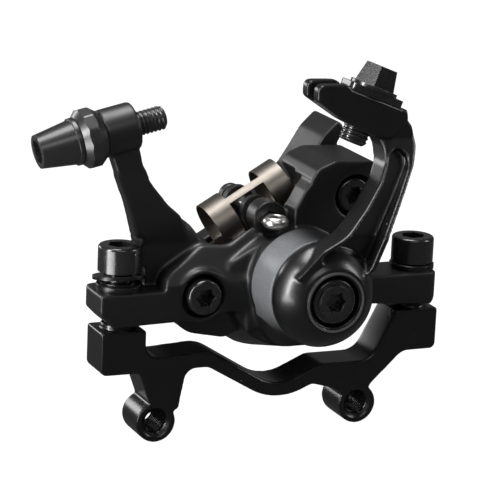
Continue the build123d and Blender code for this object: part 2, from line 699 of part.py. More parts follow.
def lever_side(front, back):
    # side outline between two offsets from the lever's bent middle
    high = hub_z + 2 * lever_reach
    low = hub_z - lever_reach
    return [
        (lever_low_middle + front, low), (lever_low_middle + front, lever_bend_start),
        (cable_plane + front, lever_bend_end), (cable_plane + front, high),
        (cable_plane + back, high), (cable_plane + back, lever_bend_end),
        (lever_low_middle + back, lever_bend_start), (lever_low_middle + back, low),
    ]


half_thick = lever_thickness / 2
lever_far = hub_x + 2 * lever_reach
lever_near = hub_x - lever_reach
lever_view = outline(lever_shares, lever_reach, hub_x, hub_z)
lever_arm = prism(lever_view, lever_low_middle - lever_reach, lever_reach)
lever_arm = lever_arm & side_prism(lever_side(-half_thick, half_thick), lever_near, lever_far)
end_half = lever_end_thickness / 2
lever_end = prism(
    outline(lever_end_shares, lever_reach, hub_x, hub_z), cable_plane - end_half, cable_plane + end_half)
pocket_view = outline(lever_pocket_shares, lever_reach, hub_x, hub_z)
pocket_floor = [
    (lever_low_middle - lever_reach, lever_near), (lever_low_middle + lever_root_depth - half_thick, lever_near),
    (lever_low_middle + lever_root_depth - half_thick, lever_bend_start),
    (cable_plane + lever_pocket_depth - half_thick, lever_bend_end),
    (lever_low_middle - lever_reach, lever_bend_end),
]
lever_arm -= prism(pocket_view, lever_low_middle - lever_reach, lever_reach) & side_prism(
    pocket_floor, lever_near, lever_far)
lever = cap + lever_arm + lever_end
groove_right = hub_x + lever_reach * cable_groove_share
groove_low = clamp_z - clamp_plate_thickness / 2
lever -= Pos((lever_near + groove_right) / 2, cable_plane, groove_low + lever_reach / 2) * Box(
    groove_right - lever_near, cable_groove, lever_reach)
clamp_axis = along(clamp_x, cable_plane, clamp_z, clamp_tilt)
lever -= clamp_axis * Pos(0, 0, lever_reach / 4) * Box(
    clamp_plate_length + overrun, 2 * lever_end_thickness, lever_reach / 2)
lever -= clamp_axis * Pos(0, 0, -lever_reach / 2) * extrude(
    Circle(clamp_bolt_radius + running_clearance), amount=lever_reach)
lever -= rod(hub_x, hub_z, cap_recess_radius, cap_face - overrun, cap_recess_floor)
lever -= turned(hub_x, hub_z, [
    (cap_ring_radius - cap_ring_width, cap_face - overrun), (cap_ring_radius, cap_face - overrun),
    (cap_ring_radius, cap_face + cap_ring_depth), (cap_ring_radius - cap_ring_width, cap_face + cap_ring_depth),
])
lever -= turned(hub_x, hub_z, [
    (spring_cavity_inner, spring_cavity_front), (spring_cavity_outer, spring_cavity_front),
    (spring_cavity_outer, cap_back + overrun), (spring_cavity_inner, cap_back + overrun),
])
lever -= rod(
    hub_x + spring_radius, hub_z, spring_wire + running_clearance, spring_front - spring_tang - seat_gap,
    spring_cavity_front + overrun)
drive = Pos(hub_x, hub_z) * Rot(0, 0, tilt) * Rectangle(drive_flats, drive_flats)
drive_hole = Pos(hub_x, hub_z) * Rot(0, 0, tilt) * Rectangle(
    drive_flats + 2 * running_clearance, drive_flats + 2 * running_clearance)
lever -= prism(drive_hole, cap_recess_floor - overrun, cap_back + overrun)
save(lever, "actuating_lever")

cap_ring = turned(hub_x, hub_z, [
    (cap_ring_radius - cap_ring_width, cap_face - cap_ring_proud), (cap_ring_radius, cap_face - cap_ring_proud),
    (cap_ring_radius, cap_face + cap_ring_depth), (cap_ring_radius - cap_ring_width, cap_face + cap_ring_depth),
])
save(cap_ring, "hub_ring")
step_top = hub_screw_head_height + hub_screw_step_height
hub_screw = extrude(Circle(hub_screw_head), amount=hub_screw_head_height)
hub_screw = fillet(hub_screw.edges().sort_by(Axis.Z)[-1], edge_break)
hub_screw += Pos(0, 0, hub_screw_head_height) * extrude(Circle(hub_screw_step), amount=hub_screw_step_height)
hub_screw -= Pos(0, 0, step_top - hub_key_depth) * extrude(lobed(hub_screw_key), amount=hub_key_depth + overrun)
hub_screw += Pos(0, 0, -hub_screw_length) * extrude(Circle(barrel_radius), amount=hub_screw_length)
hub_screw = Pos(hub_x, cap_recess_floor, hub_z) * facing * hub_screw
save(hub_screw, "hub_screw")

# Cable clamp
clamp_head_low = clamp_plate_thickness + clamp_collar_height
clamp_bolt = Pos(0, 0, clamp_plate_thickness) * extrude(Circle(clamp_collar_radius), amount=clamp_collar_height)
hexagon = RegularPolygon(clamp_head_flats / 2, hex_sides, major_radius=False)
top_hexagon = RegularPolygon(clamp_head_flats / 2 * clamp_head_top_share, hex_sides, major_radius=False)
clamp_bolt += loft(Sketch() + [
    Pos(0, 0, clamp_head_low) * hexagon, Pos(0, 0, clamp_head_low + clamp_head_height) * top_hexagon,
])
clamp_low = clamp_plate_thickness - clamp_bolt_length
clamp_bolt += Pos(0, 0, clamp_low) * extrude(Circle(clamp_bolt_radius), amount=clamp_bolt_length)
clamp_bolt = chamfer(clamp_bolt.edges().sort_by(Axis.Z)[0], edge_break)
save(clamp_axis * clamp_bolt, "cable_clamp_bolt")
clamp_plate = extrude(RectangleRounded(
    clamp_plate_length, clamp_plate_width, clamp_plate_round), amount=clamp_plate_thickness)
clamp_plate -= extrude(Circle(clamp_bolt_radius + hole_clearance), amount=clamp_plate_thickness)
save(clamp_axis * clamp_plate, "cable_clamp_plate")

# Cam, balls, ramp plate, piston, bush and thrust washer
cam_front = hub_wall_back + thrust_washer_thickness + seat_gap
cam = rod(hub_x, hub_z, shaft_radius, cap_back, cam_front + overrun)
cam += rod(hub_x, hub_z, cam_radius, cam_front, cam_back)
cam += prism(drive, drive_end, cap_back)
cam -= rod(hub_x, hub_z, barrel_radius + running_clearance, drive_end - overrun, cap_recess_floor + hub_screw_length + overrun)
ball_depth = cam_back - ball_seat_depth + ball_radius


def on_circle(turn):
    return Pos(hub_x, ball_depth, hub_z) * Rot(0, 360 / ball_count * turn + tilt, 0)


ball = Pos(ball_circle, 0, 0) * Sphere(ball_radius)
balls = [on_circle(turn) * ball for turn in range(ball_count)]
for seat in balls:
    cam -= seat
save(cam, "drive_cam")
save(Compound(balls), "ramp_balls")
key_view = Pos(hub_x, hub_z + cam_radius - key_height / 2) * Rectangle(key_width + 2 * running_clearance, 2 * key_height)
ramp_plate = rod(hub_x, hub_z, cam_radius, ramp_front, ramp_back) - prism(key_view, ramp_front, ramp_back)
# each ramp winds round the hub axis and gets shallower as the lever turns
ramp_path = Helix(push_travel * 360 / lever_swing_angle, push_travel * ramp_margin_share, ball_circle)
groove = sweep(Plane(ramp_path @ 0, z_dir=ramp_path % 0) * Circle(ball_radius + groove_clearance), path=ramp_path)
groove = Rot(90, 0, 0) * groove + Pos(ball_circle, 0, 0) * Sphere(ball_radius + groove_clearance)
for turn in range(ball_count):
    ramp_plate -= on_circle(turn) * groove
spigot = Pos(hub_x, hub_z) * Rot(0, 0, tilt) * Rectangle(ramp_spigot, ramp_spigot)
ramp_plate += prism(spigot, ramp_back, ramp_back + ramp_spigot_length)
save(ramp_plate, "ramp_plate")
piston = rod(hub_x, hub_z, piston_radius, ramp_back, piston_end) - prism(key_view, ramp_back, piston_end)
piston -= prism(spigot, ramp_back, ramp_back + ramp_spigot_length)
save(piston, "push_piston")
bush = rod(hub_x, hub_z, bush_outer, bush_front, hub_wall_back) - rod(hub_x, hub_z, bush_inner, bush_front, hub_wall_back)
save(bush, "hub_bush")
thrust_back = hub_wall_back + thrust_washer_thickness
thrust = rod(hub_x, hub_z, thrust_washer_radius, hub_wall_back, thrust_back)
thrust -= rod(hub_x, hub_z, shaft_radius + hole_clearance, hub_wall_back, thrust_back)
save(thrust, "thrust_washer")

# Return spring, one end in the cap and one in the housing
spring_height = spring_pitch * spring_turns
spring_rise = spring_pitch / (2 * pi)


def coil_point(angle):
    return Vector(spring_radius * cos(angle), spring_radius * sin(angle), spring_rise * angle)


def coil_heading(angle):
    return Vector(-spring_radius * sin(angle), spring_radius * cos(angle), spring_rise).normalized()


# two arcs that follow the helix from one angle to the next and meet smoothly
def arc_pair(start, end):
    span = coil_point(end) - coil_point(start)
    spread = 1 - coil_heading(start).dot(coil_heading(end))
    reach = span.dot(coil_heading(start) + coil_heading(end))
    leg = (sqrt(reach * reach + 2 * spread * span.dot(span)) - reach) / (2 * spread)
    joint = (coil_point(start) + coil_point(end) + (coil_heading(start) - coil_heading(end)) * leg) * 0.5
    first = TangentArc(coil_point(start), joint, tangent=coil_heading(start))
    return [first, TangentArc(joint, coil_point(end), tangent=first % 1)]


spring_arcs = []
for count in range(spring_turns * spring_sweeps):
    quarter = 2 * pi / spring_sweeps
    spring_arcs += arc_pair(count * quarter, (count + 1) * quarter)
coil = sweep(Plane(coil_point(0), z_dir=coil_heading(0)) * Circle(spring_wire), path=Wire(spring_arcs))
tang = Pos(spring_radius, 0, 0) * Sphere(spring_wire + running_clearance / 2)
coil += tang + Pos(spring_radius, 0, -spring_tang) * extrude(Circle(spring_wire), amount=spring_tang)
coil += Pos(0, 0, spring_height) * (tang + Pos(spring_radius, 0, 0) * extrude(Circle(spring_wire), amount=spring_tang))
spring_place = Pos(hub_x, spring_front, hub_z) * Rot(-90, 0, 0)
save(spring_place * coil, "return_spring")
print("coil gap", spring_pitch - 2 * spring_wire)
seal = turned(hub_x, hub_z, [
    (seal_inner, cap_back + seat_gap), (seal_outer, cap_back + seat_gap), (seal_outer, seal_back), (seal_inner, seal_back),
])
save(seal, "dust_seal")


# Pads
def pad_view(low, high, half, corner):
    return face_of([(-half, -low, corner), (half, -low, corner), (half, high, 0), (-half, high, 0)])


plate_view = pad_view(pad_bottom, pad_top, pad_half_width, pad_corner)
plate_view += box_view(pin_across - tab_radius, pin_across + tab_radius, pad_top - overrun, pin_out)
plate_view += Pos(pin_across, pin_out) * Circle(tab_radius)
plate_view -= Pos(pin_across, pin_out) * Circle(pin_hole_radius)
lining_view = pad_view(lining_bottom, lining_top, lining_half_width, pad_corner)
pad_depth = pad_plate_thickness + lining_thickness
moving_face = piston_end + pad_plate_thickness
fixed_face = 2 * mating_depth - moving_face
save(prism(leaning(plate_view), piston_end, moving_face), "moving_pad_plate")
save(prism(leaning(lining_view), moving_face, piston_end + pad_depth), "moving_pad_lining")
save(prism(leaning(plate_view), fixed_face, fixed_face + pad_plate_thickness), "fixed_pad_plate")
save(prism(leaning(lining_view), fixed_face - lining_thickness, fixed_face), "fixed_pad_lining")

# Split pin: a loop of half-round wire and two legs
loop_depth = eye_front - pin_loop_radius + running_clearance
wire_face = Pos(pin_loop_radius - pin_radius, 0) * Circle(pin_radius)
wire_face &= Pos(pin_loop_radius, 0) * Rectangle(2 * pin_radius, 2 * pin_radius)
loop = Pos(pin_place[0], loop_depth, pin_place[1]) * revolve(Plane.XZ * wire_face, Axis.Z)
leg_start = loop_depth + pin_loop_radius - pin_radius / 2
legs = rod(pin_place[0], pin_place[1], pin_leg_radius, leg_start, pin_end)
legs -= Pos(pin_place[0], eye_back + pin_end / 2, pin_place[1]) * Box(pin_slit, pin_end, 3 * pin_radius)
save(loop + legs, "pad_pin")


# Pad spring: two arches of sheet with legs between the pad plates, joined by a strip
def on_arch(radius, angle):
    return mating_depth + radius * sin(radians(angle)), arch_out + radius * cos(radians(angle))


def arch(start, near, far, width, legged):
    inner = arch_radius - sheet
    middle = (near + far) / 2
    ends = [on_arch(radius, angle) for radius, angle in (
        (arch_radius, near), (arch_radius, middle), (arch_radius, far), (inner, far), (inner, middle), (inner, near))]
    outer_arc = ThreePointArc(*ends[:3])
    inner_arc = ThreePointArc(*ends[3:])
    view = make_face(outer_arc + Line(ends[2], ends[3]) + inner_arc + Line(ends[5], ends[0]))
    if legged:
        for side in (-1, 1):
            middle_of_leg = mating_depth + side * (leg_offset - sheet / 2)
            top = arch_out + arch_radius * cos(radians(far))
            view += Pos(middle_of_leg, (top + leg_low) / 2) * Rectangle(sheet, top - leg_low + sheet)
    # the side view turns into the caliper's leaning axes with its width across
    band = extrude(Plane.YZ * view, amount=width)
    return Pos(hub_x, 0, hub_z) * Rot(0, -tilt, 0) * Pos(start, 0, 0) * band


pad_spring = arch(arch_left_start, -arch_sweep_angle, arch_sweep_angle, arch_width, True)
pad_spring += arch(arch_right_start, -arch_sweep_angle, arch_sweep_angle, arch_width, True)
bridge_start = arch_left_start + arch_width - overrun
pad_spring += arch(bridge_start, -bridge_far_angle, -bridge_near_angle, arch_right_start + overrun - bridge_start, False)
save(pad_spring, "pad_spring")

# Wheel-side adjuster with its detent ring
adjuster_front = fixed_face + pad_plate_thickness
adjuster = rod(hub_x, hub_z, adjuster_radius, adjuster_front, adjuster_end)
adjuster -= turned(hub_x, hub_z, [
    (adjuster_radius - 2 * detent_radius, detent_depth - detent_radius),
    (adjuster_radius + overrun, detent_depth - detent_radius),
    (adjuster_radius + overrun, detent_depth + detent_radius),
    (adjuster_radius - 2 * detent_radius, detent_depth + detent_radius),
])
adjuster_key = Pos(hub_x, hub_z) * RegularPolygon(adjuster_key_flats / 2, hex_sides, major_radius=False)
adjuster -= prism(adjuster_key, adjuster_end - adjuster_key_depth, adjuster_end + overrun)
save(adjuster, "pad_adjuster")
detent_ring = revolve(Pos(adjuster_radius - detent_radius, detent_depth) * Circle(detent_radius), Axis.Y)
save(Pos(hub_x, 0, hub_z) * detent_ring, "adjuster_detent_ring")
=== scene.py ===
import bpy
import bmesh
import math
from mathutils import Matrix, Vector


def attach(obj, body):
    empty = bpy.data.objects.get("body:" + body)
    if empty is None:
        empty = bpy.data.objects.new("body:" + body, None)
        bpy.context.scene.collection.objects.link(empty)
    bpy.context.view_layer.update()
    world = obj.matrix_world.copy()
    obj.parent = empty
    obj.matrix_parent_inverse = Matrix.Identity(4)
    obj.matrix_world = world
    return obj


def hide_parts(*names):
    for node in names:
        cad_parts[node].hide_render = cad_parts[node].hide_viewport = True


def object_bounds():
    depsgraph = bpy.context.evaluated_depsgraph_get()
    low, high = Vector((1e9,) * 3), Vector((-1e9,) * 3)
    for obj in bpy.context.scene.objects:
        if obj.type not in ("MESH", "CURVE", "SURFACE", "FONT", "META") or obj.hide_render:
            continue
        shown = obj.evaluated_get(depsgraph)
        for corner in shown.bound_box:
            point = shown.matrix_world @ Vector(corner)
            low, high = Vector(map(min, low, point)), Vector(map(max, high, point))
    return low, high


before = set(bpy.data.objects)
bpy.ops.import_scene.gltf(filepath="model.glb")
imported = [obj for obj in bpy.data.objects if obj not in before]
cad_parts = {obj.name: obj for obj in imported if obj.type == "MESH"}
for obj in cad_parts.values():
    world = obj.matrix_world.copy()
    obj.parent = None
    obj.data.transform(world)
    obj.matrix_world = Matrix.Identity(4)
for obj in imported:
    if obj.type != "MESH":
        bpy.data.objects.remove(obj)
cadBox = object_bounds()
print("frame loaded,", len(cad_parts), "nodes")

mm = 0.001

# the photograph's camera, fitted to the two fixing bolts, the hub and the tab holes
viewFit = {
    "azimuth": -24.05,
    "elevation": 14.7,
    "roll": 2.55,
    "distance": 600 * mm,
    "lens": 187.7,
    "sensor": 36,
    "near": 0.01,
    "far": 20,
    "target": (-1.93 * mm, 3.3 * mm, 38.2 * mm),
}


def placeCamera(fit):
    azimuth, elevation, roll = (math.radians(fit[key]) for key in ("azimuth", "elevation", "roll"))
    level = math.cos(elevation)
    back = Vector((math.sin(azimuth) * level, -math.cos(azimuth) * level, math.sin(elevation)))
    right = Vector((math.cos(azimuth), math.sin(azimuth), 0))
    up = back.cross(right)
    tiltedRight = right * math.cos(roll) + up * math.sin(roll)
    tiltedUp = up * math.cos(roll) - right * math.sin(roll)
    data = bpy.data.cameras.new("photoCamera")
    data.lens = fit["lens"]
    data.sensor_width = fit["sensor"]
    data.clip_start = fit["near"]
    data.clip_end = fit["far"]
    camera = bpy.data.objects.new("photoCamera", data)
    bpy.context.scene.collection.objects.link(camera)
    turn = Matrix((tiltedRight, tiltedUp, back)).transposed().to_4x4()
    camera.matrix_world = Matrix.Translation(Vector(fit["target"]) + back * fit["distance"]) @ turn
    bpy.context.scene.camera = camera


placeCamera(viewFit)
print("camera placed")


# small helpers for node trees: a value that feeds a socket is a number, a colour or another node's output
def addNode(tree, kind, place, **settings):
    node = tree.nodes.new(kind)
    node.location = place
    for key, value in settings.items():
        setattr(node, key, value)
    return node


def feed(tree, socket, value):
    if isinstance(value, bpy.types.NodeSocket):
        tree.links.new(value, socket)
    else:
        socket.default_value = value


def feedAll(tree, node, values):
    for label, value in values.items():
        feed(tree, node.inputs[label], value)


def addMath(tree, operation, place, *values):
    node = addNode(tree, "ShaderNodeMath", place, operation=operation)
    for socket, value in zip(node.inputs, values):
        feed(tree, socket, value)
    return node.outputs[0]


def addMix(tree, kind, place, factor, first, second):
    node = addNode(tree, "ShaderNodeMix", place, data_type=kind)
    feedAll(tree, node, {"Factor": factor, "A": first, "B": second})
    return node.outputs["Result"]


def addNoise(tree, place, vector, scale, detail):
    node = addNode(tree, "ShaderNodeTexNoise", place)
    feedAll(tree, node, {"Vector": vector, "Scale": scale, "Detail": detail})
    return node.outputs["Fac"]


def objectPlace(tree):
    return addNode(tree, "ShaderNodeTexCoord", (-900, -300)).outputs["Object"]


def splitPlace(tree, vector):
    node = addNode(tree, "ShaderNodeSeparateXYZ", (-700, -100))
    feed(tree, node.inputs["Vector"], vector)
    return node.outputs


def newGroup(name, inputs, outputs):
    group = bpy.data.node_groups.new(name, "ShaderNodeTree")
    for label, kind, value in inputs:
        socket = group.interface.new_socket(name=label, in_out="INPUT", socket_type=kind)
        socket.default_value = value
    for label, kind in outputs:
        group.interface.new_socket(name=label, in_out="OUTPUT", socket_type=kind)
    start = addNode(group, "NodeGroupInput", (-900, 0))
    end = addNode(group, "NodeGroupOutput", (700, 0))
    return group, start.outputs, end


def useGroup(tree, group, place, values):
    node = addNode(tree, "ShaderNodeGroup", place)
    node.node_tree = group
    feedAll(tree, node, values)
    return node.outputs


def newMaterial(name):
    material = bpy.data.materials.new(name)
    material.use_nodes = True
    tree = material.node_tree
    tree.nodes.clear()
    output = addNode(tree, "ShaderNodeOutputMaterial", (600, 0))
    surface = addNode(tree, "ShaderNodeBsdfPrincipled", (300, 0))
    feed(tree, output.inputs["Surface"], surface.outputs["BSDF"])
    return material, surface


def opaque(colour):
    return (*colour, 1)


# paint skin: faint orange peel, slow colour drift and patches of slightly duller gloss
skinNoise = {"driftScale": 60, "driftDetail": 4, "patchScale": 220, "patchDetail": 6, "peelDetail": 2}


def makePaintSkin():
    group, start, end = newGroup("paintSkin", [
        ("Colour", "NodeSocketColor", (0.02, 0.02, 0.021, 1)),
        ("Drift Colour", "NodeSocketColor", (0.03, 0.03, 0.032, 1)),
        ("Gloss", "NodeSocketFloat", 0.25),
        ("Dulling", "NodeSocketFloat", 0.15),
        ("Peel Scale", "NodeSocketFloat", 900.0),
    ], [("Colour", "NodeSocketColor"), ("Roughness", "NodeSocketFloat"), ("Height", "NodeSocketFloat")])
    place = objectPlace(group)
    drift = addNoise(group, (-600, 200), place, skinNoise["driftScale"], skinNoise["driftDetail"])
    peel = addNoise(group, (-600, -200), place, start["Peel Scale"], skinNoise["peelDetail"])
    patch = addNoise(group, (-600, -500), place, skinNoise["patchScale"], skinNoise["patchDetail"])
    feedAll(group, end, {
        "Colour": addMix(group, "RGBA", (-200, 200), drift, start["Colour"], start["Drift Colour"]),
        "Roughness": addMath(group, "MULTIPLY_ADD", (-200, -300), patch, start["Dulling"], start["Gloss"]),
        "Height": peel,
    })
    return group


# dust: sparse pale specks that catch the light on black parts
def makeDust():
    group, start, end = newGroup("settledDust", [
        ("Scale", "NodeSocketFloat", 320.0),
        ("Size", "NodeSocketFloat", 0.09),
        ("Share", "NodeSocketFloat", 0.1),
    ], [("Mask", "NodeSocketFloat")])
    cells = addNode(group, "ShaderNodeTexVoronoi", (-600, 100), feature="F1")
    feedAll(group, cells, {"Vector": objectPlace(group), "Scale": start["Scale"]})
    near = addMath(group, "LESS_THAN", (-300, 100), cells.outputs["Distance"], start["Size"])
    split = addNode(group, "ShaderNodeSeparateColor", (-300, -100))
    feed(group, split.inputs["Color"], cells.outputs["Color"])
    chosen = addMath(group, "LESS_THAN", (-100, -100), split.outputs["Red"], start["Share"])
    feed(group, end.inputs["Mask"], addMath(group, "MULTIPLY", (200, 0), near, chosen))
    return group


# metal grain: fine stretched scratches with a little tarnish
grainNoise = {"fineScale": 1, "fineDetail": 5, "tarnishScale": 150, "tarnishDetail": 5, "roughening": 0.2}


def makeMetalGrain():
    group, start, end = newGroup("metalGrain", [
        ("Colour", "NodeSocketColor", (0.5, 0.5, 0.5, 1)),
        ("Tarnish", "NodeSocketColor", (0.3, 0.3, 0.3, 1)),
        ("Roughness", "NodeSocketFloat", 0.3),
        ("Stretch", "NodeSocketVector", (200, 200, 4000)),
    ], [("Colour", "NodeSocketColor"), ("Roughness", "NodeSocketFloat"), ("Height", "NodeSocketFloat")])
    place = objectPlace(group)
    stretched = addNode(group, "ShaderNodeVectorMath", (-700, -100), operation="MULTIPLY")
    feed(group, stretched.inputs[0], place)
    feed(group, stretched.inputs[1], start["Stretch"])
    fine = addNoise(group, (-500, 0), stretched.outputs[0], grainNoise["fineScale"], grainNoise["fineDetail"])
    tarnish = addNoise(group, (-500, 300), place, grainNoise["tarnishScale"], grainNoise["tarnishDetail"])
    roughening = grainNoise["roughening"]
    feedAll(group, end, {
        "Colour": addMix(group, "RGBA", (-200, 200), tarnish, start["Colour"], start["Tarnish"]),
        "Roughness": addMath(group, "MULTIPLY_ADD", (-200, -200), fine, roughening, start["Roughness"]),
        "Height": fine,
    })
    return group


# painted highlight: a paler band round an axis that runs along Y, fading out towards the right and lower
# down, with a sandy grain
bandNoise = {"scale": 2600, "detail": 4}
bandFade = {"lift": 0.4, "reach": 8 * mm}


def makeHubHighlightBand():
    limits = ("Axis X", "Axis Z", "Inner", "Outer", "Right", "Front", "Back")
    group, start, end = newGroup(
        "hubHighlightBand", [(label, "NodeSocketFloat", 0.0) for label in limits],
        [("Mask", "NodeSocketFloat"), ("Grain", "NodeSocketFloat")])

    def step(operation, place, *values):
        return addMath(group, operation, place, *values)

    place = objectPlace(group)
    spot = splitPlace(group, place)
    across = step("SUBTRACT", (-500, 200), spot["X"], start["Axis X"])
    above = step("SUBTRACT", (-500, 0), spot["Z"], start["Axis Z"])
    joined = addNode(group, "ShaderNodeCombineXYZ", (-300, 100))
    feedAll(group, joined, {"X": across, "Y": above})
    length = addNode(group, "ShaderNodeVectorMath", (-100, 100), operation="LENGTH")
    feed(group, length.inputs[0], joined.outputs["Vector"])
    beyond = step("GREATER_THAN", (100, 300), length.outputs["Value"], start["Inner"])
    within = step("LESS_THAN", (100, 150), length.outputs["Value"], start["Outer"])
    lifted = step("MULTIPLY_ADD", (-400, 400), above, bandFade["lift"], start["Right"])
    fade = addNode(group, "ShaderNodeMapRange", (100, 450), interpolation_type="SMOOTHSTEP")
    leftward = step("SUBTRACT", (-200, 400), lifted, across)
    feedAll(group, fade, {"Value": leftward, "From Max": bandFade["reach"]})
    rim = step("MULTIPLY", (250, 300), beyond, within)
    leftRim = step("MULTIPLY", (400, 300), rim, fade.outputs["Result"])
    behind = step("GREATER_THAN", (-300, -100), spot["Y"], start["Front"])
    before = step("LESS_THAN", (-300, -250), spot["Y"], start["Back"])
    between = step("MULTIPLY", (100, -100), behind, before)
    feedAll(group, end, {
        "Mask": step("MULTIPLY", (550, 0), leftRim, between),
        "Grain": addNoise(group, (-300, -450), place, bandNoise["scale"], bandNoise["detail"]),
    })
    return group


paintSkin = makePaintSkin()
settledDust = makeDust()
metalGrain = makeMetalGrain()
hubHighlightBand = makeHubHighlightBand()

# every finish ends in the same relief: the solids' sharp edges drawn round, the skin's own height on top
relief = {"samples": 4, "depth": 0.02 * mm}
dustColour = (0.45, 0.45, 0.44)


def softEdges(tree, surface, radius, height, strength):
    bevel = addNode(tree, "ShaderNodeBevel", (-300, -500), samples=relief["samples"])
    feed(tree, bevel.inputs["Radius"], radius)
    bump = addNode(tree, "ShaderNodeBump", (0, -400))
    feedAll(tree, bump, {
        "Strength": strength, "Distance": relief["depth"],
        "Height": height, "Normal": bevel.outputs["Normal"],
    })
    feed(tree, surface.inputs["Normal"], bump.outputs["Normal"])


def paintMaterial(name, look):
    material, surface = newMaterial(name)
    tree = material.node_tree
    skin = useGroup(tree, paintSkin, (-500, 100), {
        "Colour": opaque(look["colour"]), "Drift Colour": opaque(look["drift"]), "Gloss": look["gloss"],
        "Dulling": look["dulling"], "Peel Scale": look["peelScale"],
    })
    dust = useGroup(tree, settledDust, (-500, 400), {
        "Scale": look["dustScale"], "Size": look["dustSize"], "Share": look["dustShare"],
    })
    feedAll(tree, surface, {
        "Base Color": addMix(tree, "RGBA", (0, 200), dust["Mask"], skin["Colour"], opaque(dustColour)),
        "Roughness": skin["Roughness"],
        "Coat Weight": look["coat"],
        "Coat Roughness": look["coatRoughness"],
        "Specular IOR Level": look["specular"],
    })
    softEdges(tree, surface, look["edge"], skin["Height"], look["peel"])
    return material


def metalMaterial(name, look):
    material, surface = newMaterial(name)
    tree = material.node_tree
    grain = useGroup(tree, metalGrain, (-500, 100), {
        "Colour": opaque(look["colour"]), "Tarnish": opaque(look["tarnish"]), "Roughness": look["roughness"],
        "Stretch": look["stretch"],
    })
    feedAll(tree, surface, {
        "Base Color": grain["Colour"], "Roughness": grain["Roughness"], "Metallic": look["metallic"],
    })
    softEdges(tree, surface, look["edge"], grain["Height"], look["relief"])
    return material


# black paints: the two castings, the forged lever, the adapter, the bolts, the knob with its nut
castPaint = paintMaterial("castPaint", {
    "colour": (0.0022, 0.0022, 0.0024), "drift": (0.0045, 0.0045, 0.0048), "gloss": 0.36, "dulling": 0.12,
    "peelScale": 1600, "peel": 0.16, "dustScale": 420, "dustSize": 0.07, "dustShare": 0.06,
    "coat": 0.06, "coatRoughness": 0.25, "specular": 0.55, "edge": 0.35 * mm,
})
leverPaint = paintMaterial("leverPaint", {
    "colour": (0.0018, 0.0018, 0.002), "drift": (0.0035, 0.0035, 0.0037), "gloss": 0.26, "dulling": 0.1,
    "peelScale": 1600, "peel": 0.05, "dustScale": 380, "dustSize": 0.07, "dustShare": 0.03,
    "coat": 0.2, "coatRoughness": 0.15, "specular": 0.5, "edge": 0.3 * mm,
})
adapterPaint = paintMaterial("adapterPaint", {
    "colour": (0.0018, 0.0018, 0.002), "drift": (0.0035, 0.0035, 0.0037), "gloss": 0.24, "dulling": 0.1,
    "peelScale": 1600, "peel": 0.06, "dustScale": 420, "dustSize": 0.06, "dustShare": 0.03,
    "coat": 0.2, "coatRoughness": 0.12, "specular": 0.5, "edge": 0.35 * mm,
})
boltBlack = paintMaterial("boltBlack", {
    "colour": (0.005, 0.005, 0.0055), "drift": (0.009, 0.009, 0.0095), "gloss": 0.2, "dulling": 0.12,
    "peelScale": 400, "peel": 0.01, "dustScale": 500, "dustSize": 0.07, "dustShare": 0.02,
    "coat": 0.3, "coatRoughness": 0.1, "specular": 0.6, "edge": 0.2 * mm,
})
knobBlack = paintMaterial("knobBlack", {
    "colour": (0.007, 0.007, 0.0075), "drift": (0.012, 0.012, 0.0125), "gloss": 0.28, "dulling": 0.12,
    "peelScale": 2500, "peel": 0.05, "dustScale": 500, "dustSize": 0.07, "dustShare": 0.04,
    "coat": 0.2, "coatRoughness": 0.15, "specular": 0.5, "edge": 0.2 * mm,
})
sealRubber = paintMaterial("sealRubber", {
    "colour": (0.012, 0.012, 0.012), "drift": (0.02, 0.02, 0.02), "gloss": 0.6, "dulling": 0.2,
    "peelScale": 3000, "peel": 0.2, "dustScale": 500, "dustSize": 0.07, "dustShare": 0.02,
    "coat": 0.0, "coatRoughness": 0.3, "specular": 0.3, "edge": 0.15 * mm,
})

# metals: washers, springs, the split pin, the cap's ring, the hidden works, the pads
washerDark = metalMaterial("washerDark", {
    "colour": (0.05, 0.05, 0.052), "tarnish": (0.025, 0.025, 0.026), "roughness": 0.2, "metallic": 0.9,
    "stretch": (3000, 3000, 600), "relief": 0.08, "edge": 0.15 * mm,
})
springNickel = metalMaterial("springNickel", {
    "colour": (0.2, 0.182, 0.16), "tarnish": (0.14, 0.125, 0.11), "roughness": 0.3, "metallic": 1.0,
    "stretch": (500, 3500, 500), "relief": 0.08, "edge": 0.08 * mm,
})
pinSilver = metalMaterial("pinSilver", {
    "colour": (0.72, 0.71, 0.69), "tarnish": (0.55, 0.54, 0.52), "roughness": 0.22, "metallic": 1.0,
    "stretch": (400, 400, 400), "relief": 0.01, "edge": 0.05 * mm,
})
ringSteel = metalMaterial("ringSteel", {
    "colour": (0.55, 0.55, 0.55), "tarnish": (0.3, 0.3, 0.3), "roughness": 0.25, "metallic": 1.0,
    "stretch": (900, 900, 900), "relief": 0.04, "edge": 0.05 * mm,
})
groundSteel = metalMaterial("groundSteel", {
    "colour": (0.5, 0.5, 0.51), "tarnish": (0.35, 0.34, 0.34), "roughness": 0.25, "metallic": 1.0,
    "stretch": (2500, 300, 2500), "relief": 0.08, "edge": 0.12 * mm,
})
bushBronze = metalMaterial("bushBronze", {
    "colour": (0.46, 0.3, 0.15), "tarnish": (0.3, 0.19, 0.1), "roughness": 0.35, "metallic": 1.0,
    "stretch": (1800, 1800, 1800), "relief": 0.12, "edge": 0.12 * mm,
})
padBacking = metalMaterial("padBacking", {
    "colour": (0.03, 0.03, 0.032), "tarnish": (0.02, 0.018, 0.017), "roughness": 0.4, "metallic": 0.6,
    "stretch": (1500, 1500, 1500), "relief": 0.12, "edge": 0.15 * mm,
})
padLining = metalMaterial("padLining", {
    "colour": (0.11, 0.095, 0.085), "tarnish": (0.05, 0.045, 0.04), "roughness": 0.6, "metallic": 0.25,
    "stretch": (2600, 2600, 2600), "relief": 0.5, "edge": 0.12 * mm,
})
